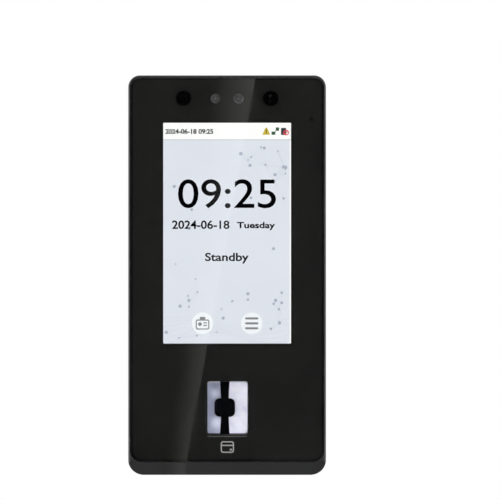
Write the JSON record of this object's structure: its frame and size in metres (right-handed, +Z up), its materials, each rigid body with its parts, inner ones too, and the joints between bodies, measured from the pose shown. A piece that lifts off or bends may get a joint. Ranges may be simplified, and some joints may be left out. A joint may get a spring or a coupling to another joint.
{
  "type": "fingerprint scanner terminal",
  "caption": "Wall-mounted access terminal with a glass front, a touch display, two cameras and an optical fingerprint sensor, hung on a steel plate with hooks.",
  "frame": {"origin": "centre of the rectangle of wall screw holes, on the wall face of the mounting plate", "axes": "+Z up, +Y into the wall, the glass front faces -Y, +X to the right as a user sees the front"},
  "size_m": [0.084, 0.022, 0.17],
  "materials": {
    "plate_steel": "galvanised sheet steel",
    "dark_screw": "black-oxide steel",
    "bright_screw": "zinc-plated steel",
    "cover_plastic": "fine-textured moulded",
    "frame_plastic": "satin moulded",
    "door_rubber": "matte",
    "seal_rubber": "matte",
    "boot_rubber": "matte",
    "panel_glass": "polished cover glass",
    "mask_ink": "black ink film",
    "tape_foam": "foam adhesive",
    "touch_glass": "clear",
    "display": "lit display",
    "tray_metal": "pressed tray",
    "ribbon": "amber film",
    "board_green": "solder mask",
    "camera_black": "satin black",
    "led_resin": "clear resin",
    "baffle_rubber": "matte grey",
    "capsule_metal": "plain",
    "sensor_glass": "optical window",
    "reflector_silver": "satin silver",
    "aperture_black": "black",
    "housing_black": "moulded",
    "ferrite": "ferrite film",
    "shield_tin": "tinned",
    "chip_black": "moulded chips",
    "relay_blue": "moulded",
    "can_silver": "cans",
    "cell_steel": "nickel plated",
    "holder_black": "moulded",
    "jack_shield": "nickel shield",
    "contact_gold": "gold plated",
    "terminal_green": "moulded",
    "switch_grey": "moulded",
    "plunger_white": "acetal",
    "spring_steel": "spring wire",
    "speaker_dark": "frame and cone",
    "tongue_white": "moulded"
  },
  "bodies": {
    "wall_mount": {"wall_plate": "plate_steel"},
    "terminal": {"rear_cover": "cover_plastic", "front_frame": "frame_plastic", "case_seal": "seal_rubber", "case_screws": "bright_screw", "cover_glass": "panel_glass", "black_mask": "mask_ink", "glass_tape": "tape_foam", "touch_sensor": "touch_glass", "display_panel": "display", "backlight": "tray_metal", "display_flex": "ribbon", "touch_flex": "ribbon", "camera_board": "board_green", "colour_camera": "camera_black", "infrared_camera": "camera_black", "camera_gaskets": "seal_rubber", "infrared_lights": "led_resin", "light_baffle": "baffle_rubber", "camera_flex": "ribbon", "microphone": "capsule_metal", "microphone_boot": "boot_rubber", "sensor_window": "sensor_glass", "sensor_seal": "seal_rubber", "sensor_reflectors": "reflector_silver", "sensor_aperture": "aperture_black", "sensor_housing": "housing_black", "sensor_board": "board_green", "sensor_flex": "ribbon", "card_antenna": "board_green", "ferrite_sheet": "ferrite", "main_board": "board_green", "board_screws": "bright_screw", "processor_shield": "shield_tin", "board_chips": "chip_black", "relay": "relay_blue", "capacitors": "can_silver", "coin_cell": "cell_steel", "cell_holder": "holder_black", "network_jack": "jack_shield", "jack_contacts": "contact_gold", "power_terminals": "terminal_green", "signal_terminals": "terminal_green", "clamp_screws": "bright_screw", "tamper_switch": "switch_grey", "tamper_spring": "spring_steel", "speaker": "speaker_dark", "speaker_gasket": "seal_rubber", "lower_board": "board_green", "lower_flex": "ribbon", "usb_port": "jack_shield", "usb_tongue": "tongue_white", "reset_switch": "switch_grey"},
    "lock_screw": {"lock_screw": "dark_screw"},
    "tamper_plunger": {"tamper_plunger": "plunger_white"},
    "usb_door": {"usb_door": "door_rubber"},
    "reset_button": {"reset_button": "plunger_white"}
  },
  "joints": [
    {"name": "terminal_lift", "type": "slide", "parent": "wall_mount", "child": "terminal", "axis": [0, 0, 1], "range_m": [0, 0.005]},
    {"name": "lock_screw_travel", "type": "slide", "parent": "terminal", "child": "lock_screw", "axis": [0, 0, -1], "range_m": [0, 0.004]},
    {"name": "tamper_press", "type": "slide", "parent": "terminal", "child": "tamper_plunger", "axis": [0, -1, 0], "range_m": [0, 0.0015], "stiffness_N_per_m": 150, "deforming": ["tamper_spring"]},
    {"name": "usb_door_swing", "type": "hinge", "parent": "terminal", "child": "usb_door", "pos_m": [-0.026, -0.0067, -0.0841], "axis": [1, 0, 0], "range_deg": [0, 95]},
    {"name": "reset_press", "type": "slide", "parent": "terminal", "child": "reset_button", "axis": [0, 0, 1], "range_m": [0, 0.0003], "stiffness_N_per_m": 400}
  ]
}
